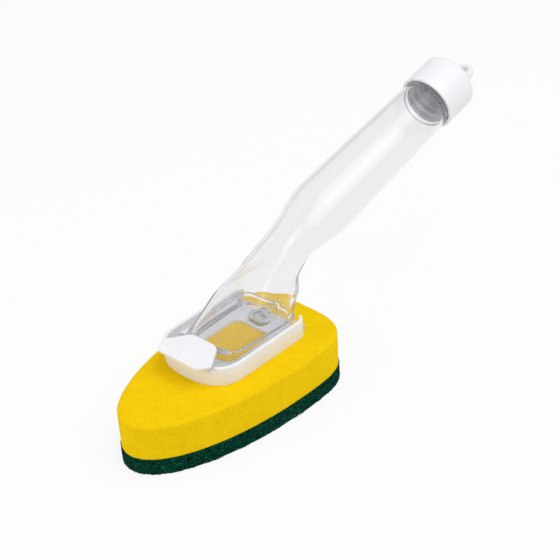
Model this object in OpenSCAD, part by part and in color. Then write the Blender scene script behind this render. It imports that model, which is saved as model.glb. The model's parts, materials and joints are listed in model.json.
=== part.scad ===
// Dish wand: a clear soap-filled handle whose foot slides into a white tray
// with a sponge and a scouring pad under it. Millimetres, +Z up.
// The origin lies under the pad, in the plane that halves the handle.
// The nose of the sponge points to -X and the handle rises towards +X.

/* [Sponge] */
// Length of the part of the sponge in front of its widest place
nose_len = 80.8; // [65:0.1:97]
// Length of the part behind its widest place
tail_len = 33.3; // [28:0.1:42]
// X of the widest place
widest_x = 25; // [20:0.5:30]
// Half of the sponge's width
sponge_half_w = 31.2; // [27:0.1:40]
// How far the sponge is bonded off the tray's middle
sponge_shift = -4; // [-6:0.5:6]
// How square the tail is, 2 being an ellipse
tail_power = 3.4; // [2:0.1:5]
// Thickness of the scouring pad
pad_h = 8.5; // [6:0.1:11]
// Thickness of the foam
foam_h = 17.5; // [13:0.1:22]
// Rounding of the foam's upper edge
foam_edge = 1.4; // [0.5:0.1:3]

/* [Tray] */
// Half of the tray's width outside
tray_half_w = 21.5; // [19:0.1:26]
// X of the tray's front
tray_front_x = -16.8; // [-20:0.1:-16]
// Length of the tray's rounded front
tray_round_len = 15.6; // [12:0.1:19]
// How square the rounded front is, 2 being an ellipse
tray_power = 2.4; // [2:0.1:4]
// X of the tray's rear edge
tray_rear_x = 41; // [39:0.1:49]
// Radius of the tray's rear corners
tray_corner_r = 5; // [3:0.5:7]
// Height of the tray's side walls, with the floor
tray_h = 9.4; // [8.8:0.1:11.3]
// Thickness of the tray's walls
tray_wall = 1.7; // [1.4:0.1:2.1]
// Thickness of the tray's floor
tray_floor = 1.6; // [1.3:0.1:2]
// How far the rails reach in over the foot's flange
rail_reach = 2.2; // [1.8:0.1:2.4]
// Height of a rail
rail_h = 1.3; // [1:0.1:2]
// Half width of the window in the tray's floor
window_half_w = 10.5; // [8:0.5:12]

/* [Latch] */
// X of the latch's pivot
pivot_x = -13.6; // [-13.8:0.1:-13.4]
// Radius of the latch's pivot bar
pivot_r = 1.25; // [1:0.05:1.4]
// Thickness of the latch's thumb plate
latch_plate = 1.8; // [1.5:0.1:2.4]
// How far the thumb plate reaches over the tray's front
latch_overhang = 3.4; // [2:0.1:5]
// Half of the thumb plate's width
latch_half_w = 15.5; // [13:0.1:17]
// Half of the hook's width
hook_half_w = 5; // [4:0.1:6]

/* [Handle] */
// Rise of the handle's grip above level
handle_tilt = 15.5; // [10:0.5:20]
// X of the grip axis's zero point
axis_x = 49; // [44:0.5:54]
// Height of the grip axis's zero point
axis_z = 60; // [56:0.5:66]
// Wall of the handle
handle_wall = 1.8; // [1.5:0.1:2.2]
// Distance along the axis to the start of the round grip
grip_start = 20; // [18:0.5:24]
// Distance along the axis to the grip's thickest place
grip_thick_s = 26.5; // [25:0.5:32]
// Distance along the axis to the grip's upper end
grip_end = 106.5; // [88:0.5:128]
// Radius where the grip starts
grip_start_r = 13.4; // [12.5:0.1:14]
// Radius at the grip's thickest place
grip_thick_r = 14.7; // [14:0.1:18]
// Radius at the grip's upper end
grip_end_r = 13.3; // [12.4:0.1:14.2]
// Half of the foot's width at its front
foot_front_half_w = 14.5; // [13:0.1:16]
// Half of the foot's width at its rear
foot_rear_half_w = 17; // [15:0.1:17.2]
// X of the front of the foot's rim
foot_front_x = -2.6; // [-3:0.1:0]
// Thickness of the flange that the rails hold
flange_h = 1.6; // [1.3:0.1:1.8]
// How far the toe reaches in front of the foot
toe_len = 8.9; // [8.6:0.1:9]
// Radius of the soap outlet through the foot plate
outlet_r = 2.2; // [2:0.1:3]
// X of the soap outlet
outlet_x = 33; // [31:0.5:34]

/* [Cap and neck] */
// Radius of the bottle neck under its thread
neck_r = 12; // [11.4:0.1:12.3]
// Radius of the neck's bore
neck_bore_r = 10.2; // [9:0.1:10.5]
// Length of the neck
neck_len = 19.1; // [18:0.1:23]
// Height of the thread's ridge
thread_h = 0.85; // [0.6:0.05:1]
// Rise of the thread in one turn
thread_pitch = 4.2; // [3.8:0.1:5]
// Turns of thread on the neck and in the cap
thread_turns = 1.25; // [1:0.05:1.5]
// Outer radius of the cap
cap_r = 14.5; // [14.4:0.1:17.4]
// Gap between the grip's shoulder and the cap's rim
cap_gap = 2.6; // [2.3:0.1:4]
// Thickness of the cap's end
cap_end = 1.9; // [1.5:0.1:2.6]
// Thickness of the sealing liner
liner_h = 1.1; // [0.8:0.1:1.5]
// Radius of the hole in the hanging loop
hang_hole_r = 2.4; // [2:0.1:3]
// Thickness of the hanging loop
loop_t = 3.2; // [2.5:0.1:4]
// How far the loop stands out of the cap
loop_len = 12; // [10:0.1:14]

/* [Hidden] */
$fn = 64;

// Running clearance between pieces that slide
slip = 0.3;
// Clearance of a welded or seated piece
snug = 0.1;
// Radial clearance of the latch's pivot
pivot_gap = 0.05;
// Radial clearance of the thread
thread_gap = 0.35;
// Overshoot of a cut past the face it opens
over = 1;
// How far joined shapes of one piece reach into each other
lap = 0.2;
// Corner taken off the neck's mouth and the cap's rim
lip = 0.4;

foam_top = pad_h + foam_h;
tray_inner_w = tray_half_w - tray_wall;
floor_top = foam_top + tray_floor;
tray_top = foam_top + tray_h;
flange_low = floor_top + slip;
flange_top = flange_low + flange_h;
rail_low = flange_top + slip;
flange_half_w = tray_inner_w - slip - snug;
foot_rear_x = tray_rear_x;
foot_mid_w = (foot_front_half_w + foot_rear_half_w) / 2;
foot_taper = (foot_rear_half_w - foot_front_half_w) / (foot_rear_half_w + foot_front_half_w);
toe_x = foot_front_x - toe_len;
flange_rear_x = foot_rear_x + 0.5;
boss_r = 1.8;
// Bead round the foot just under the tray's edge
foot_bead = 0.8;
foot_bead_h = 2;

rail_front_x = foot_front_x + 4;
rail_rear_x = tray_rear_x - tray_corner_r;

// The pivot lies this far under the tray's edge
pivot_drop = 1;
pivot_z = tray_top - pivot_drop;
// Gap between the tray's edge and the thumb plate
latch_gap = 0.6;
latch_low = tray_top + latch_gap;
front_wall_drop = 1;
// The hook lies this far behind the pivot
hook_arm = 5;
hook_front_x = pivot_x + hook_arm;
hook_t = 1.5;
lug_y = 9;
lug_w = 3;
// The slot leaves room behind the hook for its swing
hook_swing = 1.5;
hook_slot_front = hook_front_x - slip;
hook_slot_rear = hook_front_x + hook_t + hook_swing;

seat_r = outlet_r + 1.4;
seat_h = 1.2;
seat_wall = 1.2;
valve_low = flange_low + handle_wall - 0.6;
valve_flange_h = 0.8;
retainer_h = 0.9;

// How far the skirt reaches into the grip, the step between them and the grip's rounding
grip_lap = 0.6;
grip_step = 0.2;
grip_round = 1.2;
skirt_top_r = grip_start_r - grip_step;
axis_dir = [cos(handle_tilt), 0, sin(handle_tilt)];
axis_up = [-sin(handle_tilt), 0, cos(handle_tilt)];
grip_root = [axis_x, 0, axis_z] + grip_start * axis_dir;
shoulder_h = 1;
neck_low = grip_end + shoulder_h;
neck_end = neck_low + neck_len;
// Bead round the neck under the cap's rim, and the groove between it and the grip
bead_r = grip_end_r - 0.4;
groove_d = 0.4;
thread_r = neck_r + thread_h;
cap_bore_r = thread_r + thread_gap;
cap_rim = neck_low + cap_gap;
liner_low = neck_end + snug;
cap_ceiling = liner_low + liner_h + snug / 2;
cap_top = cap_ceiling + cap_end;
thread_start = cap_rim + 1.6;
thread_root_w = 2.4;
thread_crest_w = 1;
loop_end_r = hang_hole_r + 2.2;
// The loop stands this far off the cap's middle
loop_side = 2.8;

// Points of the skirt's front and rear lines in the middle plane, from the grip down
skirt_front = [grip_root + skirt_top_r * axis_up,
    grip_root + skirt_top_r * axis_up - 18.3 * axis_dir - [0, 0, 5.7],
    [foot_front_x + 17.2, 0, tray_top + 11.3],
    [foot_front_x, 0, tray_top]];
skirt_rear = [grip_root - skirt_top_r * axis_up,
    grip_root - skirt_top_r * axis_up - 17.2 * axis_dir + [0, 0, 3.7],
    [foot_rear_x + 5.6, 0, tray_top + 14.5],
    [foot_rear_x, 0, tray_top]];
// Half widths of the skirt at even steps from the grip down
skirt_w = [skirt_top_r, 9.9, 10.9, 15.2, foot_mid_w];
skirt_rings = 14;
skirt_points = 48;
// How square the skirt is at the foot, 2 being an ellipse
foot_power = 6;

function bezier(p, u) =
    pow(1 - u, 3) * p[0] + 3 * u * pow(1 - u, 2) * p[1]
    + 3 * u * u * (1 - u) * p[2] + pow(u, 3) * p[3];
function signed_pow(v, e) = sign(v) * pow(abs(v), e);
function smooth(u) = u * u * (3 - 2 * u);
function mix(a, b, t) = a + (b - a) * t;

// Half width of the skirt at u, blended between its steps
function skirt_half_w(u) =
    let (steps = len(skirt_w) - 1, k = min(floor(u * steps), steps - 1))
    mix(skirt_w[k], skirt_w[k + 1], smooth(u * steps - k));

// One closed ring of the skirt, drawn in by inset
function skirt_ring(u, inset) =
    let (front = bezier(skirt_front, u),
        rear = bezier(skirt_rear, u),
        middle = (front + rear) / 2,
        reach = (rear - front) / 2,
        reach_in = reach * (1 - inset / norm(reach)),
        half_w = skirt_half_w(u) - inset,
        power = mix(2, foot_power, smooth(u)),
        taper = foot_taper * smooth(u))
    [for (k = [0:skirt_points - 1])
        let (a = 360 * k / skirt_points,
            along = signed_pow(cos(a), 2 / power),
            across = signed_pow(sin(a), 2 / power))
        middle + along * reach_in + [0, across * half_w * (1 + taper * along), 0]];

function shifted(ring, by) = [for (p = ring) p + by];

// Skin over a list of closed rings, with flat ends
module loft(rings) {
    count = len(rings[0]);
    last = len(rings) - 1;
    points = [for (ring = rings) for (p = ring) p];
    sides = [for (j = [0:last - 1]) for (k = [0:count - 1])
        let (n = (k + 1) % count)
        each [[j * count + k, (j + 1) * count + n, (j + 1) * count + k],
            [j * count + k, j * count + n, (j + 1) * count + n]]];
    start = [[for (k = [count - 1:-1:0]) k]];
    end = [[for (k = [0:count - 1]) last * count + k]];
    polyhedron(points, concat(sides, start, end), convexity = 6);
}

// Rings of the bead round the foot
function foot_bead_rings() = [
    for (step = [[0.15, 0.75], [0.35, 1], [0.65, 1], [0.85, 0.75], [1, 0]])
        shifted(skirt_ring(1, -step[1] * foot_bead), [0, 0, -step[0] * foot_bead_h])];

// Solid inside the skirt's surface: grip_over reaches into the grip, low is its lowest level
module skirt_solid(inset, grip_over, low, edge = []) {
    rings = [for (j = [0:skirt_rings]) skirt_ring(j / skirt_rings, inset)];
    loft(concat([shifted(rings[0], grip_over * axis_dir)], rings, edge,
        [shifted(rings[skirt_rings], [0, 0, low - tray_top])]));
}

// Outline of the sponge, drawn in by inset
function sponge_points(inset) =
    let (half = concat(
            [for (a = [-90:4:-2]) [widest_x + (nose_len - inset) * sin(a),
                (sponge_half_w - inset) * cos(a)]],
            [for (a = [0:5:90]) [widest_x + (tail_len - inset) * pow(sin(a), 2 / tail_power),
                (sponge_half_w - inset) * pow(cos(a), 2 / tail_power)]]))
    concat(half, [for (k = [len(half) - 2:-1:1]) [half[k][0], -half[k][1]]]);

module sponge_slice(inset, low, high) {
    translate([0, sponge_shift, low])
        linear_extrude(high - low) polygon(sponge_points(inset));
}

// Outline of the tray, drawn in by inset
function tray_points(inset) =
    let (half_w = tray_half_w - inset,
        front = tray_front_x + inset,
        round_len = tray_round_len - inset,
        rear = tray_rear_x - inset,
        r = tray_corner_r - inset)
    concat(
        [for (a = [-90:5:90]) [front + round_len * (1 - pow(cos(a), 2 / tray_power)),
            half_w * signed_pow(sin(a), 2 / tray_power)]],
        [for (a = [90:-15:0]) [rear - r + r * cos(a), half_w - r + r * sin(a)]],
        [for (a = [0:-15:-90]) [rear - r + r * cos(a), r - half_w + r * sin(a)]]);

// Moves its children from the grip's own axis, Z, to its place
module on_axis(s = 0) {
    translate([axis_x, 0, axis_z] + s * axis_dir) rotate([0, 90 - handle_tilt, 0]) children();
}

// Helical ridge about Z: root_r lies in the wall and crest_r is its free edge
module ridge(root_r, crest_r, low) {
    steps = 24;
    last = round(thread_turns * steps);
    rings = [for (k = [0:last])
        let (a = 360 * k / steps,
            fade = min(1, min(k, last - k) / 4),
            z = low + thread_pitch * k / steps,
            tip = mix(root_r, crest_r, 0.35 + 0.65 * fade))
        [for (q = [[root_r, -thread_root_w / 2], [tip, -thread_crest_w / 2],
                [tip, thread_crest_w / 2], [root_r, thread_root_w / 2]])
            [q[0] * cos(a), q[0] * sin(a), z + q[1]]]];
    loft(crest_r > root_r ? rings : [for (ring = rings) [for (k = [3:-1:0]) ring[k]]]);
}

module scour_pad() {
    color("#0b4a35") sponge_slice(0, 0, pad_h);
}

module sponge_foam() {
    color("#fbd510") hull() {
        sponge_slice(0, pad_h, foam_top - foam_edge);
        sponge_slice(0.3 * foam_edge, pad_h, foam_top - 0.3 * foam_edge);
        sponge_slice(foam_edge, pad_h, foam_top);
    }
}

module refill_tray() {
    color("#f3f3f0") difference() {
        union() {
            tray_shell();
            tray_rails();
            latch_lugs();
        }
        translate([pivot_x, 0, pivot_z]) rotate([90, 0, 0])
            cylinder(r = pivot_r + pivot_gap, h = 4 * lug_y, center = true);
        translate([pivot_x - 0.85 * pivot_r, -2 * lug_y, pivot_z])
            cube([1.7 * pivot_r, 4 * lug_y, pivot_r + over]);
    }
}

// Floor and walls, with a way in at the rear: wide and low for the flange, narrower above for the foot
module tray_shell() {
    entry_low_w = flange_half_w + slip;
    entry_half_w = foot_rear_half_w + foot_bead + slip;
    entry_len = tray_corner_r + over;
    difference() {
        translate([0, 0, foam_top]) linear_extrude(tray_h) polygon(tray_points(0));
        translate([0, 0, floor_top]) linear_extrude(tray_h) polygon(tray_points(tray_wall));
        translate([rail_rear_x, -entry_low_w, floor_top])
            cube([entry_len, 2 * entry_low_w, rail_low - floor_top]);
        translate([rail_rear_x, -entry_half_w, floor_top])
            cube([entry_len, 2 * entry_half_w, tray_h]);
        translate([tray_front_x - over, -tray_half_w - over, tray_top - front_wall_drop])
            cube([pivot_x + 1.2 - tray_front_x + over, 2 * (tray_half_w + over), 2 * over]);
        translate([0, 0, foam_top - over]) linear_extrude(tray_floor + 2 * over) window_shape();
        translate([outlet_x, 0, foam_top - over])
            cylinder(r = outlet_r + slip + 0.9, h = tray_floor + 2 * over);
    }
}

// Rounded window through which the soap and the foam meet
module window_shape() {
    corner = 4;
    front = foot_front_x + 2.5;
    rear = outlet_x - outlet_r - 3;
    hull() for (x = [front + corner, rear - corner], y = [-1, 1])
        translate([x, y * (window_half_w - corner)]) circle(corner);
}

module tray_rails() {
    for (side = [-1, 1])
        translate([rail_front_x, side > 0 ? tray_inner_w - rail_reach : -tray_inner_w - lap, rail_low])
            cube([rail_rear_x - rail_front_x, rail_reach + lap, rail_h]);
}

module latch_lugs() {
    front = tray_front_x + tray_wall - 0.5;
    low = foam_top + tray_floor / 2;
    for (y = [-lug_y, lug_y])
        translate([front, y - lug_w / 2, low])
            cube([pivot_x + 1.7 - front, lug_w, pivot_z + 0.8 - low]);
}

module latch_tab() {
    color("#eef1f8") union() {
        translate([0, 0, latch_low]) linear_extrude(latch_plate) latch_plan();
        translate([pivot_x, 0, pivot_z]) rotate([90, 0, 0])
            cylinder(r = pivot_r, h = 2 * (lug_y + lug_w), center = true);
        for (span = [[-lug_y - lug_w, -lug_y - 0.8 * lug_w], [-lug_y + 0.6 * lug_w, lug_y - 0.6 * lug_w],
            [lug_y + 0.8 * lug_w, lug_y + lug_w]])
            translate([pivot_x - 0.7 * pivot_r, span[0], pivot_z])
                cube([1.4 * pivot_r, span[1] - span[0], latch_low + lap - pivot_z]);
        translate([hook_front_x, -hook_half_w, flange_low + lap])
            cube([hook_t, 2 * hook_half_w, latch_low - flange_low]);
    }
}

// Thumb plate seen from above: straight front, two wings and a broad round back
module latch_plan() {
    front = tray_front_x - latch_overhang;
    back = foot_front_x + slip;
    wing_r = 2.5;
    back_r = 6;
    hull() for (y = [-1, 1]) {
        translate([front + wing_r, y * (latch_half_w - wing_r - 2.5)]) circle(wing_r);
        translate([front + 5.6, y * (latch_half_w - wing_r)]) circle(wing_r);
        translate([back - back_r, y * (latch_half_w - back_r) * 0.5]) circle(back_r);
    }
}

module handle_body() {
    color([0.88, 0.89, 0.93, 0.35]) difference() {
        union() {
            on_axis() rotate_extrude($fn = 96) polygon(grip_outside());
            skirt_solid(0, grip_lap, flange_low, foot_bead_rings());
            foot_flange();
            foot_boss();
            on_axis() ridge(neck_r - lap, thread_r, thread_start);
        }
        on_axis() rotate_extrude($fn = 96) polygon(grip_inside());
        skirt_solid(handle_wall, grip_lap, flange_low - over);
        translate([hook_slot_front, -hook_half_w - slip, flange_low - over])
            cube([hook_slot_rear - hook_slot_front, 2 * (hook_half_w + slip), flange_h + 2 * over]);
    }
}

// Half section of the grip and neck, as radius and distance along the axis
function grip_outside() = [
    [0, grip_start + lap],
    [grip_start_r, grip_start + lap],
    [grip_thick_r - 0.35, grip_thick_s - grip_round],
    [grip_thick_r, grip_thick_s + grip_round],
    [grip_end_r, grip_end - grip_round],
    [grip_end_r - 0.5, grip_end],
    [bead_r - groove_d, grip_end + shoulder_h / 2],
    [bead_r, neck_low],
    [bead_r, cap_rim - 1.4],
    [neck_r, cap_rim - 0.8],
    [neck_r, neck_end - lip],
    [neck_r - lip, neck_end],
    [0, neck_end]];

function grip_inside() = [
    [0, grip_start + lap],
    [grip_start_r - handle_wall, grip_start + lap],
    [grip_thick_r - handle_wall, grip_thick_s + grip_round],
    [grip_end_r - handle_wall, grip_end],
    [neck_bore_r, neck_low + 1.5],
    [neck_bore_r, neck_end + over],
    [0, neck_end + over]];

// Flat flange round the foot, with the toe that the latch hooks
module foot_flange() {
    toe_half_w = hook_half_w + 3.5;
    shoulder = foot_front_x + 0.6;
    half = [[toe_x, toe_half_w], [toe_x + 2.5, toe_half_w + 4], [shoulder, flange_half_w - 1.4],
        [shoulder + 4, flange_half_w], [flange_rear_x, flange_half_w]];
    mirrored = [for (k = [len(half) - 1:-1:0]) [half[k][0], -half[k][1]]];
    translate([0, 0, flange_low]) linear_extrude(flange_h) polygon(concat(half, mirrored));
}

// Half-round boss on the foot's rear wall
module foot_boss() {
    translate([foot_rear_x, -boss_r / 2, flange_low]) cylinder(r = boss_r, h = tray_top - foot_bead_h - flange_low);
}

// Welded floor of the soap chamber, with the valve's seat
module foot_plate() {
    ring = skirt_ring(1, handle_wall + snug);
    color([0.88, 0.89, 0.93, 0.35]) difference() {
        union() {
            translate([0, 0, flange_low]) linear_extrude(handle_wall) polygon([for (p = ring) [p[0], p[1]]]);
            translate([outlet_x, 0, flange_low + handle_wall - lap])
                cylinder(r = seat_r + seat_wall, h = seat_h + lap);
        }
        translate([outlet_x, 0, flange_low - over]) cylinder(r = outlet_r, h = handle_wall + 2 * over);
        translate([outlet_x, 0, valve_low - snug]) cylinder(r = seat_r, h = seat_h + 2 * over);
    }
}

// Domed slit valve of soft rubber, held by its flange
module soap_valve() {
    r = seat_r - snug;
    color("#dfe2e4") difference() {
        translate([outlet_x, 0, valve_low]) rotate_extrude() polygon([
            [0, 0.9], [outlet_r - 0.6, 0.2], [outlet_r - 0.2, 0], [r, 0], [r, valve_flange_h],
            [outlet_r - 0.2, valve_flange_h], [outlet_r - 0.7, 0.9], [0, 1.6]]);
        for (turn = [0, 90])
            translate([outlet_x, 0, valve_low + 1]) rotate([0, 0, turn])
                cube([outlet_r, 0.2, 3], center = true);
    }
}

// Snap ring that keeps the valve in its seat
module valve_retainer() {
    r = seat_r - snug / 2;
    color("#e9eaee") translate([outlet_x, 0, valve_low + valve_flange_h + snug / 2]) difference() {
        cylinder(r = r, h = retainer_h);
        translate([0, 0, -over]) cylinder(r = outlet_r - 0.2, h = retainer_h + 2 * over);
    }
}

module screw_cap() {
    edge = 1.3;
    end_r = cap_r - 0.2;
    color("#f4f5f9") difference() {
        union() {
            on_axis() rotate_extrude($fn = 96) difference() {
                polygon([[0, cap_rim], [cap_r - lip, cap_rim], [cap_r, cap_rim + lip],
                    [end_r, cap_top - edge], [end_r - 0.3 * edge, cap_top - 0.3 * edge],
                    [end_r - edge, cap_top], [0, cap_top]]);
                translate([-over, cap_rim - over]) square([cap_bore_r + over, cap_ceiling - cap_rim + over]);
            }
            on_axis() ridge(cap_bore_r + lap, neck_r + 0.25, thread_start + thread_pitch / 2);
            on_axis(cap_top) hang_loop();
        }
        on_axis(cap_top + loop_len - loop_end_r) translate([0, -loop_side, 0]) rotate([0, 90, 0])
            cylinder(r = hang_hole_r, h = 3 * loop_t, center = true);
    }
}

// Flat loop with a round end, standing on the cap
module hang_loop() {
    root_w = loop_end_r + 1;
    end = loop_len - loop_end_r;
    translate([-loop_t / 2, -loop_side, 0]) rotate([90, 0, 90]) linear_extrude(loop_t) {
        translate([0, end]) circle(loop_end_r);
        polygon([[-root_w, -lap], [root_w, -lap], [loop_end_r, end], [-loop_end_r, end]]);
    }
}

module cap_liner() {
    color("#e4e5e8") on_axis(liner_low) cylinder(r = cap_bore_r - 0.3, h = liner_h);
}

scour_pad();
sponge_foam();
refill_tray();
latch_tab();
handle_body();
foot_plate();
soap_valve();
valve_retainer();
screw_cap();
cap_liner();
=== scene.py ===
"""Looks of a dish wand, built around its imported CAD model. Metres, +Z up."""
import json
import math
import random

import bpy
from mathutils import Matrix, Vector, noise


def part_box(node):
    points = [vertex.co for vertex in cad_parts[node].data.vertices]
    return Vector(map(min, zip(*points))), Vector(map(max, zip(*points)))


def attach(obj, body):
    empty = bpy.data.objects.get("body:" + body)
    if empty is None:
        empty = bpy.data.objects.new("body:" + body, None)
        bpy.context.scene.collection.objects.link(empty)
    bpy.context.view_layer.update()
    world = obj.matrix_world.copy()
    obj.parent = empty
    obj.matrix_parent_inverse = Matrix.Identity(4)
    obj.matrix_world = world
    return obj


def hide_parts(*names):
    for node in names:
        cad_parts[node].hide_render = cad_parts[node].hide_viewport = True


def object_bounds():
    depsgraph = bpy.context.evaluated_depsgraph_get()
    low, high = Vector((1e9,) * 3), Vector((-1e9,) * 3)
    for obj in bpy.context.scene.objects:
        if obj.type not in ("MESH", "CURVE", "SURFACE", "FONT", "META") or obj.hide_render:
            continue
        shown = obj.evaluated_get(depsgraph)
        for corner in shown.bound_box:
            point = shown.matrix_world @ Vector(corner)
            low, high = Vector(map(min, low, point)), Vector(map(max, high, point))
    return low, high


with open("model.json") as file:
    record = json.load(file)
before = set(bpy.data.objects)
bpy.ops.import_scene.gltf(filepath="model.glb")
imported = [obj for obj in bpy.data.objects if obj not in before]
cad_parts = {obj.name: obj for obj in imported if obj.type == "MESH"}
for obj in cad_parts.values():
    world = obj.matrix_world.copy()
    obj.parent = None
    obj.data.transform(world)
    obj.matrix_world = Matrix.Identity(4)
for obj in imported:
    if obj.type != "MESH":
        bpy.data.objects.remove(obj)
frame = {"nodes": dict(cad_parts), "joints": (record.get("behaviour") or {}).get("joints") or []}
cad_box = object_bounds()

MM = 0.001

# The camera stands where the photograph was taken from, its angles in degrees
CAMERA_PLACE = (-0.3693, -0.4132, 0.4267)
CAMERA_AZIMUTH = -45.211
CAMERA_ELEVATION = 33.153
CAMERA_ROLL = -3.852
CAMERA_LENS = 98.45
CAMERA_SENSOR = 36

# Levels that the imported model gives
PAD_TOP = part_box("scour_pad")[1].z
FOAM_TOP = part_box("sponge_foam")[1].z
TRAY_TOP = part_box("refill_tray")[1].z
FOOT_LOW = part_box("handle_body")[0].z

# The grip's own line is the one that the cap turns about
CAP_TURN = next(j for j in frame["joints"] if j["name"] == "cap_turn")
AXIS_ZERO = Vector(CAP_TURN["pos_m"])
AXIS = Vector(CAP_TURN["axis"]).normalized()
AXIS_UP = Vector((-AXIS.z, 0, AXIS.x))
PIVOT = Vector(next(j for j in frame["joints"] if j["name"] == "latch_press")["pos_m"])

# The sponge's outline, as in the CAD
NOSE_LEN = 80.8 * MM
TAIL_LEN = 33.3 * MM
WIDEST_X = 25 * MM
SPONGE_HALF_W = 31.2 * MM
SPONGE_SHIFT = -4 * MM
TAIL_POWER = 3.4
# Way round the sponge, roughly
SPONGE_ROUND = 250 * MM

# The tray
TRAY_HALF_W = 21.5 * MM
TRAY_FRONT_X = -16.8 * MM
TRAY_ROUND_LEN = 15.6 * MM
TRAY_POWER = 2.4
TRAY_REAR_X = 41 * MM
TRAY_CORNER_R = 5 * MM
TRAY_WALL = 1.7 * MM
TRAY_FLOOR = 1.6 * MM
RAIL_LOW = 29.8 * MM
RAIL_H = 1.3 * MM
RAIL_REACH = 2.2 * MM
ENTRY_LOW_HALF_W = 19.7 * MM
ENTRY_HALF_W = 18.1 * MM
LUG_Y = 9 * MM
LUG_W = 3 * MM
OUTLET_X = 33 * MM
OUTLET_HOLE_R = 3.4 * MM
WINDOW_FRONT_X = -0.1 * MM
WINDOW_REAR_X = 27.8 * MM
WINDOW_HALF_W = 10.5 * MM
WINDOW_CORNER = 4 * MM

# The latch
PIVOT_R = 1.25 * MM
LATCH_LOW = TRAY_TOP + 0.6 * MM
LATCH_PLATE = 1.8 * MM
LATCH_FRONT_X = -20.2 * MM
LATCH_BACK_X = -2.3 * MM
LATCH_HALF_W = 15.5 * MM
HOOK_HALF_W = 5 * MM
HOOK_FRONT_X = -8.6 * MM
HOOK_T = 1.5 * MM

# The handle
WALL = 1.8 * MM
SKIRT_TOP_S = 20 * MM
SKIRT_TOP_R = 13.2 * MM
# Half widths of the skirt at equal steps down from the grip, without the last at the foot
SKIRT_HALF_WS = (SKIRT_TOP_R, 9.9 * MM, 10.9 * MM, 15.2 * MM)
# How far the skirt's front and rear curves are drawn, along and down at the grip, along and up at the foot
FRONT_AT_GRIP = (18.3 * MM, 5.7 * MM)
FRONT_AT_FOOT = (17.2 * MM, 11.3 * MM)
REAR_AT_GRIP = (17.2 * MM, -3.7 * MM)
REAR_AT_FOOT = (5.6 * MM, 14.5 * MM)
GRIP_THICK_S = 26.5 * MM
GRIP_THICK_R = 14.7 * MM
GRIP_END_S = 106.5 * MM
GRIP_END_R = 13.3 * MM
GROOVE_R = 12.5 * MM
SHOULDER_LOW_S = 107.5 * MM
SHOULDER_HIGH_S = 109 * MM
SHOULDER_R = 12.9 * MM
FOOT_FRONT_X = -2.6 * MM
FOOT_REAR_X = 41 * MM
FOOT_FRONT_HALF_W = 14.5 * MM
FOOT_REAR_HALF_W = 17 * MM
FOOT_POWER = 6
FLANGE_H = 1.6 * MM
FLANGE_HALF_W = 19.4 * MM
TOE_X = -11.5 * MM
BOSS_R = 1.8 * MM
FOOT_BEAD = 0.8 * MM
FOOT_BEAD_H = 2 * MM
NECK_R = 12 * MM
BORE_R = 10.2 * MM
NECK_END_S = 126.6 * MM
THREAD_PITCH = 4.2 * MM
THREAD_TURNS = 1.25
THREAD_START_S = 111.7 * MM

# The cap
CAP_R = 14.5 * MM
CAP_BORE_R = 13.2 * MM
CAP_RIM_S = 110.1 * MM
CAP_CEILING_S = 127.85 * MM
CAP_TOP_S = 129.75 * MM
LINER_S = 126.7 * MM
LINER_H = 1.1 * MM
LOOP_T = 3.2 * MM
LOOP_LEN = 12 * MM
LOOP_END_R = 4.6 * MM
LOOP_SIDE = 2.8 * MM
HANG_HOLE_R = 2.4 * MM

# Points round a skin's rings
AROUND = 120

# Places of the two soft boxes
UPPER_BOX = (0.2, -0.42, 0.9)
LEFT_BOX = (-0.8, 0.3, 0.5)


def srgb(code):
    """A colour written as six hex digits, in the renderer's linear values."""
    shares = [int(code[k:k + 2], 16) / 255 for k in (0, 2, 4)]
    return tuple(c / 12.92 if c <= 0.04045 else ((c + 0.055) / 1.055) ** 2.4 for c in shares) + (1,)


def deselect():
    """Nothing is selected, so that an operator acts only on what comes next."""
    bpy.ops.object.select_all(action="DESELECT")


def choose(piece):
    """Makes piece the one that operators act on."""
    deselect()
    piece.select_set(True)
    bpy.context.view_layer.objects.active = piece


def settled(piece):
    """Puts piece's place into its mesh."""
    choose(piece)
    bpy.ops.object.transform_apply(location=True, rotation=True, scale=True)
    return piece


def signed_pow(value, power):
    """Power of a value's size, with the value's own sign."""
    return math.copysign(abs(value) ** power, value)


def smooth(u):
    """Share from 0 to 1 that starts and stops gently."""
    return u * u * (3 - 2 * u)


def mix(a, b, share):
    """Value a share of the way from a to b."""
    return a + (b - a) * share


def eased(corners, steps=5):
    """Line through corners of (along, out, easing), each rounded over its easing length."""
    line = [Vector(corners[0][:2])]
    for before, corner, after in zip(corners, corners[1:], corners[2:]):
        here = Vector(corner[:2])
        back = Vector(before[:2]) - here
        ahead = Vector(after[:2]) - here
        start = here + back.normalized() * min(corner[2], 0.49 * back.length)
        end = here + ahead.normalized() * min(corner[2], 0.49 * ahead.length)
        for k in range(steps + 1):
            t = k / steps
            line.append((1 - t) ** 2 * start + 2 * t * (1 - t) * here + t * t * end)
    line.append(Vector(corners[-1][:2]))
    return line


def skin_through(name, rings):
    """Closed skin over rings of points: a grid laid on the rings, its seam merged and its ends filled."""
    around = len(rings[0])
    deselect()
    bpy.ops.mesh.primitive_grid_add(x_subdivisions=around, y_subdivisions=len(rings) - 1, size=1)
    piece = bpy.context.object
    piece.name = name
    places = [tuple(ring[k % around]) for ring in rings for k in range(around + 1)]
    piece.data.vertices.foreach_set("co", [c for place in places for c in place])
    piece.location = (0, 0, 0)
    bpy.ops.object.mode_set(mode="EDIT")
    bpy.ops.mesh.select_all(action="SELECT")
    bpy.ops.mesh.remove_doubles(threshold=1e-7)
    bpy.ops.mesh.fill_holes(sides=0)
    bpy.ops.mesh.select_all(action="SELECT")
    bpy.ops.mesh.normals_make_consistent(inside=False)
    bpy.ops.object.mode_set(mode="OBJECT")
    return piece


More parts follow.
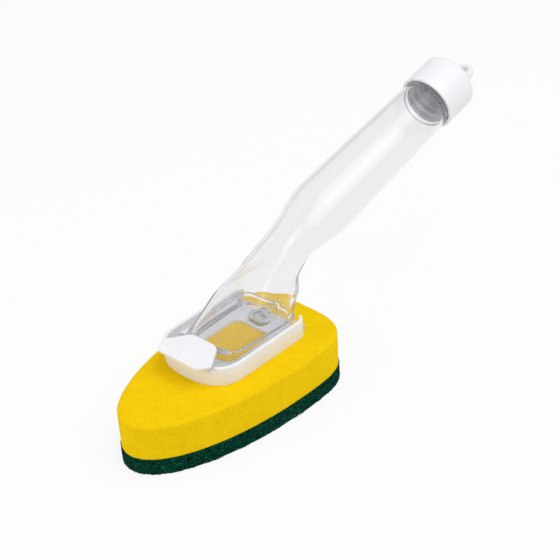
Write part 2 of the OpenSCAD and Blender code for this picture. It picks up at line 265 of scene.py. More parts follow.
def block(low, high):
    """Cube stretched from one corner to the other."""
    deselect()
    low, high = Vector(low), Vector(high)
    bpy.ops.mesh.primitive_cube_add(size=1, location=(low + high) / 2)
    bpy.context.object.scale = high - low
    return settled(bpy.context.object)


def round_bar(radius, length, middle, turn=(0, 0, 0), sides=48):
    """Cylinder of a length about middle, lying along Z before its turn."""
    deselect()
    bpy.ops.mesh.primitive_cylinder_add(vertices=sides, radius=radius, depth=length, location=middle,
                                        rotation=turn)
    return settled(bpy.context.object)


def combine(piece, other, operation):
    """Joins other to piece, or cuts it out of piece, and removes it."""
    choose(piece)
    step = piece.modifiers.new("combine", "BOOLEAN")
    step.operation = operation
    step.solver = "EXACT"
    step.object = other
    bpy.ops.object.modifier_apply(modifier=step.name)
    bpy.data.objects.remove(other)
    return piece


def soften(piece, width, segments=3, angle=40):
    """Rounds piece's edges sharper than angle, in degrees."""
    choose(piece)
    step = piece.modifiers.new("soften", "BEVEL")
    step.width = width
    step.segments = segments
    step.limit_method = "ANGLE"
    step.angle_limit = math.radians(angle)
    bpy.ops.object.modifier_apply(modifier=step.name)
    return piece


def shade(piece, angle=35):
    """Smooth shading across edges flatter than angle, in degrees."""
    choose(piece)
    bpy.ops.object.shade_smooth_by_angle(angle=math.radians(angle))
    return piece


def stand_in(piece, name, node, body, material):
    """Names a finished piece, gives it its material, and puts it in the place of its CAD node."""
    piece.name = name
    piece.data.name = name
    piece.data.materials.clear()
    piece.data.materials.append(material)
    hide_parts(node)
    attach(piece, body)
    return piece


def add(tree, kind, settings=(), links=()):
    """Adds a node. Settings are inputs or options by name, links are (input, node, output)."""
    node = tree.nodes.new("ShaderNode" + kind)
    for name, value in dict(settings).items():
        if isinstance(name, int) or name in node.inputs:
            node.inputs[name].default_value = value
        else:
            setattr(node, name, value)
    for name, source, output in links:
        tree.links.new(source.outputs[output], node.inputs[name])
    return node


def blank(name):
    """Empty material with its node tree."""
    material = bpy.data.materials.new(name)
    material.use_nodes = True
    material.node_tree.nodes.clear()
    return material, material.node_tree


def cut_foam():
    """Open-cell polyurethane foam, cut to shape: dull, fine-pored, deep yellow."""
    material, tree = blank("cut_polyurethane_foam")
    place = add(tree, "TexCoord")
    # Pores of real foam are about 0.4 mm and these are twice that, so that they show
    pores = add(tree, "TexVoronoi", {"Scale": 1 / (0.8 * MM)}, [("Vector", place, "Object")])
    mottle = add(tree, "TexNoise", {"Scale": 1 / (6 * MM), "Detail": 4}, [("Vector", place, "Object")])
    pits = add(tree, "MapRange", {"From Min": 0.1, "From Max": 0.75, "To Min": 1, "To Max": 0},
               [("Value", pores, "Distance")])
    tone = add(tree, "ValToRGB", (), [("Fac", mottle, "Fac")])
    tone.color_ramp.elements[0].position = 0.3
    tone.color_ramp.elements[0].color = srgb("FCD00A")
    tone.color_ramp.elements[1].position = 0.7
    tone.color_ramp.elements[1].color = srgb("FFD810")
    # The cell borders, the low places of the relief, are darkened by a tenth: painted shade in the pores
    shaded = add(tree, "MixRGB", {"Fac": 0.1, "blend_type": "MULTIPLY"},
                 [("Color1", tone, "Color"), ("Color2", pits, "Result")])
    relief = add(tree, "Bump", {"Strength": 0.35, "Distance": 0.25 * MM}, [("Height", pits, "Result")])
    shader = add(tree, "BsdfPrincipled", {"Roughness": 1, "Specular IOR Level": 0.05},
                 [("Base Color", shaded, "Color"), ("Normal", relief, "Normal")])
    add(tree, "OutputMaterial", (), [("Surface", shader, "BSDF")])
    return material


def scouring_nylon():
    """Scouring web of resin-bonded nylon fibres: very dark green, rough, with painted highlights in paler
    green on its raised fibres.
    """
    material, tree = blank("bonded_nylon_web")
    place = add(tree, "TexCoord")
    # Fibres lie about 0.9 mm apart
    web = add(tree, "TexNoise",
              {"Scale": 1 / (0.9 * MM), "Detail": 5, "Roughness": 0.65, "Distortion": 1.2},
              [("Vector", place, "Object")])
    # Colour follows the relief: the paler green on the raised fibres is painted highlight, the darker low
    # places painted shade
    tone = add(tree, "ValToRGB", (), [("Fac", web, "Fac")])
    tone.color_ramp.elements[0].position = 0.4
    tone.color_ramp.elements[0].color = srgb("001912")
    tone.color_ramp.elements[1].position = 0.64
    tone.color_ramp.elements[1].color = srgb("147659")
    middle = tone.color_ramp.elements.new(0.5)
    middle.color = srgb("033A2D")
    relief = add(tree, "Bump", {"Strength": 0.8, "Distance": 0.5 * MM}, [("Height", web, "Fac")])
    shader = add(tree, "BsdfPrincipled", {"Roughness": 0.8, "Specular IOR Level": 0.08},
                 [("Base Color", tone, "Color"), ("Normal", relief, "Normal")])
    add(tree, "OutputMaterial", (), [("Surface", shader, "BSDF")])
    return material


def moulded_white(name, low, high, gloss):
    """Opaque polypropylene, injection moulded in a satin mould: soft highlights, faintly uneven."""
    material, tree = blank(name)
    place = add(tree, "TexCoord")
    # Sink and flow marks are some 8 mm across and the mould's grain 0.3 mm
    flow = add(tree, "TexNoise", {"Scale": 1 / (8 * MM), "Detail": 2}, [("Vector", place, "Object")])
    grain = add(tree, "TexNoise", {"Scale": 1 / (0.3 * MM), "Detail": 2}, [("Vector", place, "Object")])
    tone = add(tree, "ValToRGB", (), [("Fac", flow, "Fac")])
    tone.color_ramp.elements[0].position = 0.3
    tone.color_ramp.elements[0].color = srgb(low)
    tone.color_ramp.elements[1].position = 0.7
    tone.color_ramp.elements[1].color = srgb(high)
    rough = add(tree, "MapRange", {"To Min": gloss - 0.04, "To Max": gloss + 0.06},
                [("Value", grain, "Fac")])
    relief = add(tree, "Bump", {"Strength": 0.12, "Distance": 0.05 * MM}, [("Height", grain, "Fac")])
    shader = add(tree, "BsdfPrincipled", {"IOR": 1.49, "Subsurface Weight": 0.12,
                 "Subsurface Scale": 1.2 * MM, "Subsurface Radius": (1, 0.9, 0.8)},
                 [("Base Color", tone, "Color"), ("Roughness", rough, "Result"),
                  ("Normal", relief, "Normal")])
    add(tree, "OutputMaterial", (), [("Surface", shader, "BSDF")])
    return material


def clear_moulding(name, ior):
    """Clear acrylic-like plastic, blow moulded and polished: bends light, with a faint cool tint."""
    material, tree = blank(name)
    place = add(tree, "TexCoord")
    # The wall is slightly wavy, as drawn plastic is, over some 25 mm
    waves = add(tree, "TexNoise", {"Scale": 1 / (25 * MM), "Detail": 0}, [("Vector", place, "Object")])
    relief = add(tree, "Bump", {"Strength": 0.15, "Distance": 0.1 * MM}, [("Height", waves, "Fac")])
    shader = add(tree, "BsdfPrincipled", {"Base Color": srgb("FEFEFF"), "Roughness": 0.02, "IOR": ior,
                 "Transmission Weight": 1}, [("Normal", relief, "Normal")])
    # Lamps and soft fill shine through the wall onto what lies behind it
    rays = add(tree, "LightPath")
    lit = add(tree, "BsdfTransparent", {"Color": srgb("FEFEFE")})
    soft = add(tree, "MixShader", (), [(0, rays, "Is Diffuse Ray"), (1, shader, "BSDF"), (2, lit, "BSDF")])
    # Light that is mirrored to and fro inside the wall gets out of it in the end
    long_kept = add(tree, "Math", {"operation": "GREATER_THAN", 1: 2.5}, [(0, rays, "Glossy Depth")])
    freed = add(tree, "MixShader", (), [(0, long_kept, "Value"), (1, soft, "Shader"), (2, lit, "BSDF")])
    both = add(tree, "MixShader", (), [(0, rays, "Is Shadow Ray"), (1, freed, "Shader"), (2, lit, "BSDF")])
    # A faint grey tint in the wall, which darkens the edges that light crosses lengthwise
    depth = add(tree, "VolumeAbsorption", {"Color": srgb("7C7C84"), "Density": 32})
    add(tree, "OutputMaterial", (), [("Surface", both, "Shader"), ("Volume", depth, "Volume")])
    return material


def milky(name, ior, gloss):
    """Undyed silicone rubber or polypropylene: milky, half clear, with a soft shine."""
    material, tree = blank(name)
    place = add(tree, "TexCoord")
    cloud = add(tree, "TexNoise", {"Scale": 1 / (1.5 * MM), "Detail": 2}, [("Vector", place, "Object")])
    tone = add(tree, "ValToRGB", (), [("Fac", cloud, "Fac")])
    tone.color_ramp.elements[0].color = srgb("D4D6DA")
    tone.color_ramp.elements[1].color = srgb("E2E4E7")
    relief = add(tree, "Bump", {"Strength": 0.1, "Distance": 0.05 * MM}, [("Height", cloud, "Fac")])
    shader = add(tree, "BsdfPrincipled", {"Roughness": gloss, "IOR": ior, "Transmission Weight": 0.3,
                 "Subsurface Weight": 0.5, "Subsurface Scale": 1 * MM},
                 [("Base Color", tone, "Color"), ("Normal", relief, "Normal")])
    add(tree, "OutputMaterial", (), [("Surface", shader, "BSDF")])
    return material


def liner_foam():
    """Closed-cell polyethylene foam of a sealing disc: dull, with a fine even grain, its base colour
    greyed as painted shade from inside the cap.
    """
    material, tree = blank("polyethylene_liner_foam")
    place = add(tree, "TexCoord")
    cells = add(tree, "TexVoronoi", {"Scale": 1 / (0.4 * MM)}, [("Vector", place, "Object")])
    # The disc's grey is painted shade from inside the cap; the cells vary it a little
    tone = add(tree, "ValToRGB", (), [("Fac", cells, "Distance")])
    tone.color_ramp.elements[0].color = srgb("D6D7DC")
    tone.color_ramp.elements[1].color = srgb("C4C5CB")
    relief = add(tree, "Bump", {"Strength": 0.2, "Distance": 0.1 * MM}, [("Height", cells, "Distance")])
    shader = add(tree, "BsdfPrincipled", {"Roughness": 0.7},
                 [("Base Color", tone, "Color"), ("Normal", relief, "Normal")])
    add(tree, "OutputMaterial", (), [("Surface", shader, "BSDF")])
    return material


def sponge_ring(inset, z):
    """The sponge's outline at a level, drawn in by inset."""
    ring = []
    for k in range(AROUND * 2):
        a = math.pi * k / AROUND
        lean, across = math.cos(a), math.sin(a)
        half_w = SPONGE_HALF_W - inset
        if lean < 0:
            x = WIDEST_X + (NOSE_LEN - inset) * lean
            y = half_w * across
        else:
            x = WIDEST_X + (TAIL_LEN - inset) * abs(lean) ** (2 / TAIL_POWER)
            y = half_w * signed_pow(across, 2 / TAIL_POWER)
        ring.append(Vector((x, y + SPONGE_SHIFT, z)))
    return ring


def shrunk(ring, share):
    """A ring drawn in towards the sponge's middle line."""
    middle = Vector((WIDEST_X - 0.25 * NOSE_LEN, SPONGE_SHIFT, ring[0].z))
    return [middle + (p - middle) * share for p in ring]


def slab_rings(low, high, edge_low, edge_high, side_steps, top_steps):
    """Rings over the underside, side and top of a slab with the sponge's outline and rounded edges."""
    rings = [shrunk(sponge_ring(edge_low, low), k / top_steps) for k in range(top_steps)]
    for k in range(5):
        a = math.radians(90 * k / 4)
        rings.append(sponge_ring(edge_low * (1 - math.sin(a)), low + edge_low * (1 - math.cos(a))))
    for k in range(1, side_steps):
        rings.append(sponge_ring(0, mix(low + edge_low, high - edge_high, k / side_steps)))
    for k in range(5):
        a = math.radians(90 * k / 4)
        rings.append(sponge_ring(edge_high * (1 - math.cos(a)), high - edge_high * (1 - math.sin(a))))
    rings += [shrunk(sponge_ring(edge_high, high), k / top_steps) for k in range(top_steps - 1, -1, -1)]
    return rings


def roughen(piece, depth, grain):
    """Pushes each vertex in along its normal by noise of a grain, at most by depth."""
    for v in piece.data.vertices:
        v.co -= v.normal * depth * (0.5 + 0.5 * noise.noise(v.co / grain))


def make_foam():
    """Foam block with a flat top and underside and a side that waves a little."""
    piece = skin_through("foam", slab_rings(PAD_TOP, FOAM_TOP, 0.4 * MM, 1.4 * MM, 14, 26))
    # The cut face waves by a third of a millimetre, but the faces that are bonded stay flat
    for v in piece.data.vertices:
        if abs(v.normal.z) < 0.9:
            v.co -= v.normal * 0.15 * MM * (1 + noise.noise(v.co / (5 * MM)))
    shade(piece, 60)
    stand_in(piece, "foam_block", "sponge_foam", "refill", cut_foam())


def strand_points(rng):
    """Points of one fibre that wanders over the web's side or its underside."""
    turn = rng.uniform(0, 2 * math.pi)
    heading = rng.uniform(-0.9, 0.9)
    on_side = rng.random() < 0.55
    share = 1 if on_side else math.sqrt(rng.random())
    level = rng.uniform(0.6, 8.2) * MM if on_side else 0.25 * MM
    reach = rng.uniform(1.5, 3.5) * MM
    edge = sponge_ring(0, level)
    points = []
    for k in range(5):
        step = (k - 2) / 2
        at = (turn / (2 * math.pi) + step * reach / SPONGE_ROUND * math.cos(heading)) % 1
        spot = edge[int(at * len(edge)) % len(edge)]
        spot = shrunk([spot], share)[0]
        if on_side:
            spot.z = min(max(level + step * reach * math.sin(heading), 0.5 * MM), PAD_TOP - 0.2 * MM)
        wander = Vector([rng.uniform(-0.17, 0.17) * MM for _ in range(3)])
        if not on_side:
            wander.z = abs(wander.z) * 0.3
        points.append(spot + wander)
    return points


def make_fibres():
    """Loose fibres of the web, as one mesh of thin four-sided tubes."""
    rng = random.Random(7)
    curve = bpy.data.curves.new("fibres", "CURVE")
    curve.dimensions = "3D"
    # Real fibres are 0.1 mm thick and these 0.26 mm, so that they show
    curve.bevel_depth = 0.13 * MM
    curve.bevel_resolution = 0
    curve.use_fill_caps = True
    for _ in range(2600):
        points = strand_points(rng)
        spline = curve.splines.new("POLY")
        spline.points.add(len(points) - 1)
        for target, point in zip(spline.points, points):
            target.co = (*point, 1)
            target.radius = rng.uniform(0.7, 1.2)
    piece = bpy.data.objects.new("fibres", curve)
    bpy.context.scene.collection.objects.link(piece)
    choose(piece)
    bpy.ops.object.convert(target="MESH")
    return bpy.context.object


def make_pad():
    """Scouring web: a roughened slab with loose fibres on its side and underside."""
    piece = skin_through("web", slab_rings(0.1 * MM, PAD_TOP, 0.5 * MM, 0.3 * MM, 12, 22))
    roughen(piece, 0.25 * MM, 1.1 * MM)
    fibres = make_fibres()
    choose(piece)
    fibres.select_set(True)
    bpy.ops.object.join()
    shade(piece, 60)
    stand_in(piece, "scouring_web", "scour_pad", "refill", scouring_nylon())


def tray_ring(inset, z):
    """The tray's outline at a level, drawn in by inset."""
    half_w = TRAY_HALF_W - inset
    front = TRAY_FRONT_X + inset
    round_len = TRAY_ROUND_LEN - inset
    r = max(TRAY_CORNER_R - inset, 0.5 * MM)
    rear = TRAY_REAR_X - inset
    ring = []
    for k in range(61):
        a = math.radians(-90 + 3 * k)
        ring.append(Vector((front + round_len * (1 - math.cos(a) ** (2 / TRAY_POWER)),
                            half_w * signed_pow(math.sin(a), 2 / TRAY_POWER), z)))
    for side, start in ((1, 90), (-1, 0)):
        for k in range(10):
            a = math.radians(start - 10 * k)
            ring.append(Vector((rear - r + r * math.cos(a), side * (half_w - r) + r * math.sin(a), z)))
    return ring


def window_ring(z):
    """Outline of the window in the tray's floor, a rectangle with round corners, at a level."""
    front, rear = WINDOW_FRONT_X + WINDOW_CORNER, WINDOW_REAR_X - WINDOW_CORNER
    side = WINDOW_HALF_W - WINDOW_CORNER
    ring = []
    for k, (x, y) in enumerate(((rear, side), (front, side), (front, -side), (rear, -side))):
        for step in range(9):
            a = math.radians(90 * k + 90 * step / 8)
            ring.append(Vector((x + WINDOW_CORNER * math.cos(a), y + WINDOW_CORNER * math.sin(a), z)))
    return ring


def make_tray():
    """Tray with its window, outlet hole, way in for the foot, rails and pivot lugs."""
    floor_top = FOAM_TOP + TRAY_FLOOR
    # Section of the wall as (level, inset): outside up, over the round rim, down to the floor
    section = eased([(FOAM_TOP, 0.35 * MM, 0), (FOAM_TOP, 0, 0.3 * MM), (TRAY_TOP, 0, 0.85 * MM),
                     (TRAY_TOP, TRAY_WALL, 0.85 * MM), (floor_top, TRAY_WALL, 0.8 * MM),
                     (floor_top, TRAY_WALL + 1.5 * MM, 0)])
    piece = skin_through("tray", [tray_ring(p.y, p.x) for p in section])
    inner_w = TRAY_HALF_W - TRAY_WALL
    over = 1 * MM
    # The cuts stop this far over the floor, because faces in one plane upset a boolean
    hair = 0.02 * MM
    window = skin_through("window", [window_ring(z) for z in (FOAM_TOP - over, floor_top + over)])
    combine(piece, window, "DIFFERENCE")
    combine(piece, round_bar(OUTLET_HOLE_R, 8 * MM, (OUTLET_X, 0, FOAM_TOP)), "DIFFERENCE")
    way_in = TRAY_REAR_X - TRAY_CORNER_R
    combine(piece, block((way_in, -ENTRY_LOW_HALF_W, floor_top + hair),
                         (TRAY_REAR_X + over, ENTRY_LOW_HALF_W, RAIL_LOW)), "DIFFERENCE")
    combine(piece, block((way_in, -ENTRY_HALF_W, floor_top + hair),
                         (TRAY_REAR_X + over, ENTRY_HALF_W, TRAY_TOP + over)), "DIFFERENCE")
    combine(piece, block((TRAY_FRONT_X - over, -TRAY_HALF_W - over, TRAY_TOP - 1 * MM),
                         (PIVOT.x + 1.2 * MM, TRAY_HALF_W + over, TRAY_TOP + over)), "DIFFERENCE")
    for side in (-1, 1):
        ends = sorted((side * (inner_w - RAIL_REACH), side * (inner_w + 0.2 * MM)))
        rail = block((FOOT_FRONT_X + 4 * MM, ends[0], RAIL_LOW), (way_in, ends[1], RAIL_LOW + RAIL_H))
        combine(piece, soften(rail, 0.3 * MM), "UNION")
        lug = block((TRAY_FRONT_X + TRAY_WALL - 0.5 * MM, side * LUG_Y - LUG_W / 2,
                     FOAM_TOP + TRAY_FLOOR / 2),
                    (PIVOT.x + 1.7 * MM, side * LUG_Y + LUG_W / 2, PIVOT.z + 0.8 * MM))
        combine(piece, soften(lug, 0.3 * MM), "UNION")
    combine(piece, round_bar(PIVOT_R + 0.05 * MM, 4 * LUG_Y, PIVOT, (math.pi / 2, 0, 0)), "DIFFERENCE")
    combine(piece, block((PIVOT.x - 0.85 * PIVOT_R, -2 * LUG_Y, PIVOT.z),
                         (PIVOT.x + 0.85 * PIVOT_R, 2 * LUG_Y, PIVOT.z + PIVOT_R + over)), "DIFFERENCE")
    shade(piece)
    stand_in(piece, "snap_tray", "refill_tray", "refill",
             moulded_white("white_polypropylene", "F0F0F4", "F4F4F7", 0.34))


def make_latch():
    """Thumb plate with its hook and pivot bar."""
    deselect()
    wing_r = 2.5 * MM
    back_r = 6 * MM
    corners = [(LATCH_FRONT_X + wing_r, LATCH_HALF_W - wing_r - 2.5 * MM, wing_r),
               (LATCH_FRONT_X + 5.6 * MM, LATCH_HALF_W - wing_r, wing_r),
               (LATCH_BACK_X - back_r, (LATCH_HALF_W - back_r) * 0.5, back_r)]
    level = LATCH_LOW + LATCH_PLATE / 2
    piece = None
    for x, y, r in corners:
        for side in (-1, 1):
            post = round_bar(r, LATCH_PLATE, (x, side * y, level))
            if piece is None:
                piece = post
            else:
                choose(piece)
                post.select_set(True)
                bpy.ops.object.join()
    choose(piece)
    bpy.ops.object.mode_set(mode="EDIT")
    bpy.ops.mesh.select_all(action="SELECT")
    bpy.ops.mesh.convex_hull(join_triangles=True)
    bpy.ops.mesh.select_all(action="SELECT")
    bpy.ops.mesh.dissolve_limited(angle_limit=math.radians(1))
    bpy.ops.object.mode_set(mode="OBJECT")
    soften(piece, 0.6 * MM, 4)
    bar_half = LUG_Y + LUG_W
    combine(piece, block((HOOK_FRONT_X, -HOOK_HALF_W, FOOT_LOW + 0.2 * MM),
                         (HOOK_FRONT_X + HOOK_T, HOOK_HALF_W, LATCH_LOW + 0.2 * MM)), "UNION")
    for low, high in ((-bar_half, -LUG_Y - 0.8 * LUG_W), (-LUG_Y + 0.6 * LUG_W, LUG_Y - 0.6 * LUG_W),
                      (LUG_Y + 0.8 * LUG_W, bar_half)):
        combine(piece, block((PIVOT.x - 0.7 * PIVOT_R, low, PIVOT.z),
                             (PIVOT.x + 0.7 * PIVOT_R, high, LATCH_LOW + 0.2 * MM)), "UNION")
    combine(piece, round_bar(PIVOT_R, 2 * bar_half, PIVOT, (math.pi / 2, 0, 0)), "UNION")
    shade(piece)
    stand_in(piece, "thumb_latch", "latch_tab", "latch",
             moulded_white("cool_white_polypropylene", "F3F5F9", "F7F8FB", 0.3))


def on_axis(s, r, a):
    """Point at a distance along the grip's line, out from it, at an angle from its lower side."""
    return AXIS_ZERO + s * AXIS + r * (math.sin(a) * Vector((0, 1, 0)) - math.cos(a) * AXIS_UP)


def axis_ring(s, r):
    """Circle round the grip's line."""
    return [on_axis(s, r, 2 * math.pi * k / AROUND) for k in range(AROUND)]


def curve_point(p, u):
    """Point on the cubic curve with the four control points p."""
    return (1 - u) ** 3 * p[0] + 3 * u * (1 - u) ** 2 * p[1] + 3 * u * u * (1 - u) * p[2] + u ** 3 * p[3]


def edge_point(start, at_grip, foot_x, at_foot, u):
    """Point on the skirt's front or rear edge, from its start at the grip to the foot at foot_x."""
    end = Vector((foot_x, 0, TRAY_TOP))
    return curve_point([start, start - at_grip[0] * AXIS - Vector((0, 0, at_grip[1])),
                        end + Vector((at_foot[0], 0, at_foot[1])), end], u)


def skirt_ring(u, inset):
    """Ring of the skirt between the grip, at 0, and the tray's edge, at 1, drawn in by inset."""
    root = AXIS_ZERO + SKIRT_TOP_S * AXIS
    up = SKIRT_TOP_R * AXIS_UP
    front = edge_point(root + up, FRONT_AT_GRIP, FOOT_FRONT_X, FRONT_AT_FOOT, u)
    rear = edge_point(root - up, REAR_AT_GRIP, FOOT_REAR_X, REAR_AT_FOOT, u)
    widths = SKIRT_HALF_WS + ((FOOT_FRONT_HALF_W + FOOT_REAR_HALF_W) / 2,)
    steps = len(widths) - 1
    k = min(int(u * steps), steps - 1)
    half_w = mix(widths[k], widths[k + 1], smooth(u * steps - k)) - inset
    middle = (front + rear) / 2
    reach = (rear - front) / 2
    reach = reach * (1 - inset / reach.length)
    power = mix(2, FOOT_POWER, smooth(u))
    taper = (FOOT_REAR_HALF_W - FOOT_FRONT_HALF_W) / (FOOT_REAR_HALF_W + FOOT_FRONT_HALF_W) * smooth(u)
    ring = []
    for k in range(AROUND):
        a = 2 * math.pi * k / AROUND
        along = signed_pow(math.cos(a), 2 / power)
        across = signed_pow(math.sin(a), 2 / power)
        ring.append(middle + along * reach + Vector((0, across * half_w * (1 + taper * along), 0)))
    return ring


def foot_bead_rings():
    """Rings of the bead round the foot, from its lower side to the tray's edge."""
    rings = []
    for k in range(8, 0, -1):
        out = FOOT_BEAD * (1 - abs(k / 4 - 1) ** 2.5)
        rings.append([p - Vector((0, 0, FOOT_BEAD_H * k / 8)) for p in skirt_ring(1, -out)])
    return rings


def bottle_rings(inset, low, grip, bead=()):
    """Rings from a low level up the skirt and along the grip, whose line is (s, r) pairs."""
    rim = skirt_ring(1, inset)
    rings = [[Vector((p.x, p.y, low)) for p in rim]]
    rings += bead
    rings += [skirt_ring(1 - k / 48, inset) for k in range(49)]
    rings += [axis_ring(p.x, p.y) for p in grip[1:]]
    return rings


def thread_ridge(root_r, crest_r, start):
    """Helical ridge of one and a quarter turns that fades out at its ends."""
    steps = 60
    last = round(THREAD_TURNS * steps)
    rings = []
    for k in range(last + 1):
        a = math.pi / 2 - 2 * math.pi * k / steps
        s = start + THREAD_PITCH * k / steps
        fade = min(1, min(k, last - k) / 10)
        tip = mix(root_r, crest_r, 0.35 + 0.65 * smooth(fade))
        rings.append([on_axis(s - 1.2 * MM, root_r, a), on_axis(s - 0.5 * MM, tip, a),
                      on_axis(s + 0.5 * MM, tip, a), on_axis(s + 1.2 * MM, root_r, a)])
    return skin_through("ridge", rings)


def make_bottle():
    """Handle: one clear shell of foot, skirt, grip and threaded neck."""
    outside = eased([(SKIRT_TOP_S, SKIRT_TOP_R, 0), (GRIP_THICK_S, GRIP_THICK_R, 6 * MM),
                     (GRIP_END_S - 0.3 * MM, GRIP_END_R, 1 * MM),
                     (GRIP_END_S + 0.5 * MM, GROOVE_R, 0.2 * MM),
                     (SHOULDER_LOW_S, SHOULDER_R, 0.3 * MM), (SHOULDER_HIGH_S, SHOULDER_R, 0.4 * MM),
                     (SHOULDER_HIGH_S + 0.3 * MM, NECK_R, 0.3 * MM),
                     (NECK_END_S, NECK_R, 0.4 * MM), (NECK_END_S, BORE_R - 0.2 * MM, 0)])
    inside = eased([(SKIRT_TOP_S, SKIRT_TOP_R - WALL, 0),
                    (GRIP_THICK_S + 1 * MM, GRIP_THICK_R - WALL, 6 * MM),
                    (GRIP_END_S, GRIP_END_R - WALL, 1 * MM), (SHOULDER_HIGH_S, BORE_R, 0.8 * MM),
                    (NECK_END_S + 1 * MM, BORE_R, 0)])
    piece = skin_through("bottle", bottle_rings(0, FOOT_LOW, outside, foot_bead_rings()))
    toe_half_w = HOOK_HALF_W + 3.5 * MM
    shoulder = FOOT_FRONT_X + 0.6 * MM
    half = [(TOE_X, toe_half_w), (TOE_X + 2.5 * MM, toe_half_w + 4 * MM),
            (shoulder, FLANGE_HALF_W - 1.4 * MM), (shoulder + 4 * MM, FLANGE_HALF_W),
            (FOOT_REAR_X + 0.5 * MM, FLANGE_HALF_W)]
    outline = half + [(x, -y) for x, y in reversed(half)]
    flange = skin_through("flange", [[(x, y, z) for x, y in outline]
                                     for z in (FOOT_LOW, FOOT_LOW + FLANGE_H)])
    combine(piece, flange, "UNION")
    boss_h = TRAY_TOP - FOOT_BEAD_H - FOOT_LOW
    combine(piece, round_bar(BOSS_R, boss_h, (FOOT_REAR_X, -BOSS_R / 2, FOOT_LOW + boss_h / 2)), "UNION")
    combine(piece, thread_ridge(NECK_R - 0.2 * MM, NECK_R + 0.85 * MM, THREAD_START_S), "UNION")
    combine(piece, skin_through("bore", bottle_rings(WALL, FOOT_LOW - 1 * MM, inside)), "DIFFERENCE")
    combine(piece, block((HOOK_FRONT_X - 0.3 * MM, -HOOK_HALF_W - 0.3 * MM, FOOT_LOW - 1 * MM),
                         (HOOK_FRONT_X + 3 * MM, HOOK_HALF_W + 0.3 * MM, FOOT_LOW + FLANGE_H + 1 * MM)),
            "DIFFERENCE")
    shade(piece)
    stand_in(piece, "clear_bottle", "handle_body", "wand",
             clear_moulding("clear_moulded_plastic", 1.49))


def make_cap():
    """Screw cap with its inside thread and hanging loop."""
    end_r = CAP_R - 0.2 * MM
    section = eased([(CAP_CEILING_S, 0, 0), (CAP_CEILING_S, CAP_BORE_R, 0.4 * MM),
                     (CAP_RIM_S, CAP_BORE_R, 0.3 * MM), (CAP_RIM_S, CAP_R, 0.5 * MM),
                     (CAP_TOP_S, end_r, 2 * MM), (CAP_TOP_S, 0, 0)], 8)
    piece = skin_through("cap", [axis_ring(p.x, p.y) for p in section])
    between = THREAD_START_S + THREAD_PITCH / 2
    combine(piece, thread_ridge(CAP_BORE_R + 0.2 * MM, NECK_R + 0.25 * MM, between), "UNION")
    end = CAP_TOP_S + LOOP_LEN - LOOP_END_R
    aside = Vector((0, -LOOP_SIDE, 0))
    outline = [(CAP_TOP_S - 0.4 * MM, LOOP_END_R + 1 * MM), (CAP_TOP_S, LOOP_END_R + 0.85 * MM)]
    for k in range(19):
        a = math.radians(80 - 160 * k / 18)
        outline.append((end + LOOP_END_R * math.cos(a), LOOP_END_R * math.sin(a)))
    outline += [(CAP_TOP_S, -LOOP_END_R - 0.85 * MM), (CAP_TOP_S - 0.4 * MM, -LOOP_END_R - 1 * MM)]
    faces = [[AXIS_ZERO + s * AXIS + t * AXIS_UP + aside + Vector((0, y, 0)) for s, y in outline]
             for t in (-LOOP_T / 2, LOOP_T / 2)]
    loop = skin_through("loop", faces)
    turn = AXIS_UP.to_track_quat("Z", "Y").to_euler()
    hole_at = AXIS_ZERO + end * AXIS + aside
    combine(loop, round_bar(HANG_HOLE_R, 3 * LOOP_T, hole_at, turn), "DIFFERENCE")
    soften(loop, 0.7 * MM, 4)
    combine(piece, loop, "UNION")
    shade(piece)
    stand_in(piece, "closure_cap", "screw_cap", "cap",
             moulded_white("cap_polypropylene", "EFF0F3", "F3F3F6", 0.36))


def make_liner():
    """Sealing disc under the cap's ceiling."""
    r = CAP_BORE_R - 0.3 * MM
    section = eased([(LINER_S, 0, 0), (LINER_S, r, 0.25 * MM), (LINER_S + LINER_H, r, 0.25 * MM),
                     (LINER_S + LINER_H, 0, 0)])
    piece = skin_through("liner", [axis_ring(p.x, p.y) for p in section])
    shade(piece)
    stand_in(piece, "sealing_disc", "cap_liner", "cap_seal", liner_foam())


def finish_kept_nodes():
    """The chamber's floor, the valve and its ring keep their CAD shape and get their materials."""
    # The floor's lower index keeps the stacked walls from veiling what lies under them
    finishes = {"foot_plate": clear_moulding("clear_chamber_floor", 1.25),
                "soap_valve": milky("natural_silicone", 1.41, 0.35),
                "valve_retainer": milky("natural_polypropylene", 1.49, 0.3)}
    for node, material in finishes.items():
        data = frame["nodes"][node].data
        data.materials.clear()
        data.materials.append(material)


def seen_or_mirrored(tree):
    """Share of 1 for rays from the camera and those that gloss and clear plastic send on."""
    rays = add(tree, "LightPath")
    first = add(tree, "Math", {"operation": "MAXIMUM"},
                [(0, rays, "Is Camera Ray"), (1, rays, "Is Glossy Ray")])
    return add(tree, "Math", {"operation": "MAXIMUM"},
               [(0, first, "Value"), (1, rays, "Is Transmission Ray")])


def make_floor():
    """Plain white floor that keeps a faint shadow."""
    deselect()
    bpy.ops.mesh.primitive_plane_add(size=8)
    floor = bpy.context.object
    floor.name = "floor"
    material, tree = blank("studio_floor")
    share = seen_or_mirrored(tree)
    faint = add(tree, "Math", {"operation": "MULTIPLY", 1: 0.86}, [(0, share, "Value")])
    paper = add(tree, "BsdfDiffuse", {"Color": srgb("F4F4F4")})
    glow = add(tree, "Emission", {"Color": (1, 1, 1, 1), "Strength": 1.0})
    both = add(tree, "MixShader", (), [(0, faint, "Value"), (1, paper, "BSDF"), (2, glow, "Emission")])
    add(tree, "OutputMaterial", (), [("Surface", both, "Shader")])
    floor.data.materials.append(material)


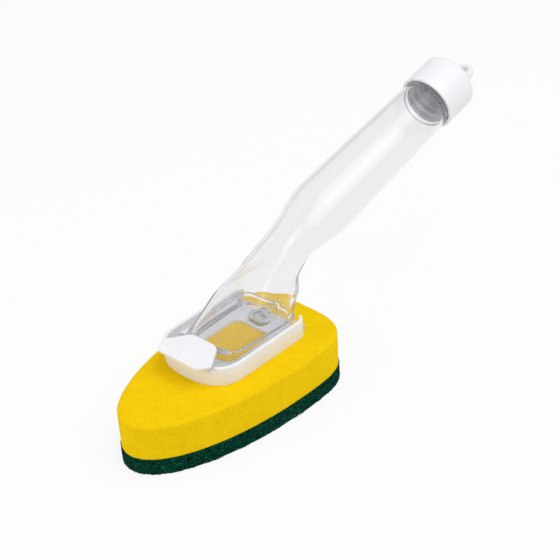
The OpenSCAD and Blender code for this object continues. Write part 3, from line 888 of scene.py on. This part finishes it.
def make_world():
    """Soft studio: an even fill, and for gloss and clear plastic a white horizon under grey walls."""
    world = bpy.data.worlds.new("studio")
    bpy.context.scene.world = world
    world.use_nodes = True
    tree = world.node_tree
    tree.nodes.clear()
    place = add(tree, "TexCoord")
    parts = add(tree, "SeparateXYZ", (), [("Vector", place, "Generated")])
    height = add(tree, "ValToRGB", (), [("Fac", parts, "Z")])
    height.color_ramp.elements[0].position = 0.02
    height.color_ramp.elements[0].color = (1, 1, 1, 1)
    height.color_ramp.elements[1].position = 0.5
    height.color_ramp.elements[1].color = (0.8, 0.8, 0.82, 1)
    wall = height.color_ramp.elements.new(0.12)
    wall.color = (0.66, 0.66, 0.68, 1)
    # A soft-edged bright patch where the upper soft box stands, for gloss to mirror
    toward = add(tree, "VectorMath", {"operation": "DOT_PRODUCT", 1: Vector(UPPER_BOX).normalized()},
                 [(0, place, "Generated")])
    patch = add(tree, "MapRange", {"interpolation_type": "SMOOTHSTEP", "From Min": 0.86, "From Max": 0.99,
                "To Min": 0, "To Max": 1.2}, [("Value", toward, "Value")])
    bright = add(tree, "MixRGB", {"Fac": 1, "blend_type": "ADD"},
                 [("Color1", height, "Color"), ("Color2", patch, "Result")])
    shown = add(tree, "Background", {"Strength": 1.0}, [("Color", bright, "Color")])
    fill = add(tree, "Background", {"Color": (1, 1, 1, 1), "Strength": 0.52})
    share = seen_or_mirrored(tree)
    both = add(tree, "MixShader", (),
               [(0, share, "Value"), (1, fill, "Background"), (2, shown, "Background")])
    add(tree, "OutputWorld", (), [("Surface", both, "Shader")])


def make_lamp(name, place, size, power):
    """Square soft box aimed at the wand."""
    lamp = bpy.data.lights.new(name, "AREA")
    lamp.shape = "SQUARE"
    lamp.size = size
    lamp.energy = power
    holder = bpy.data.objects.new(name, lamp)
    holder.location = place
    target = (cad_box[0] + cad_box[1]) / 2
    holder.rotation_euler = (target - Vector(place)).to_track_quat("-Z", "Y").to_euler()
    # Gloss and clear plastic mirror the world's soft patch in place of the box's hard edge
    holder.visible_glossy = False
    holder.visible_transmission = False
    bpy.context.scene.collection.objects.link(holder)


def make_camera():
    """Camera at the photograph's place."""
    camera = bpy.data.cameras.new("camera")
    camera.lens = CAMERA_LENS
    camera.sensor_width = CAMERA_SENSOR
    holder = bpy.data.objects.new("camera", camera)
    turns = (Matrix.Rotation(math.radians(CAMERA_AZIMUTH), 4, "Z")
             @ Matrix.Rotation(math.radians(90 - CAMERA_ELEVATION), 4, "X")
             @ Matrix.Rotation(math.radians(CAMERA_ROLL), 4, "Z"))
    holder.matrix_world = Matrix.Translation(CAMERA_PLACE) @ turns
    bpy.context.scene.collection.objects.link(holder)
    bpy.context.scene.camera = holder


make_camera()
make_world()
make_floor()
make_lamp("upper_box", UPPER_BOX, size=0.9, power=5.2)
make_lamp("left_box", LEFT_BOX, size=0.8, power=2.4)
make_foam()
make_pad()
make_tray()
make_latch()
make_bottle()
make_cap()
make_liner()
finish_kept_nodes()
bpy.context.scene.view_settings.view_transform = "Standard"
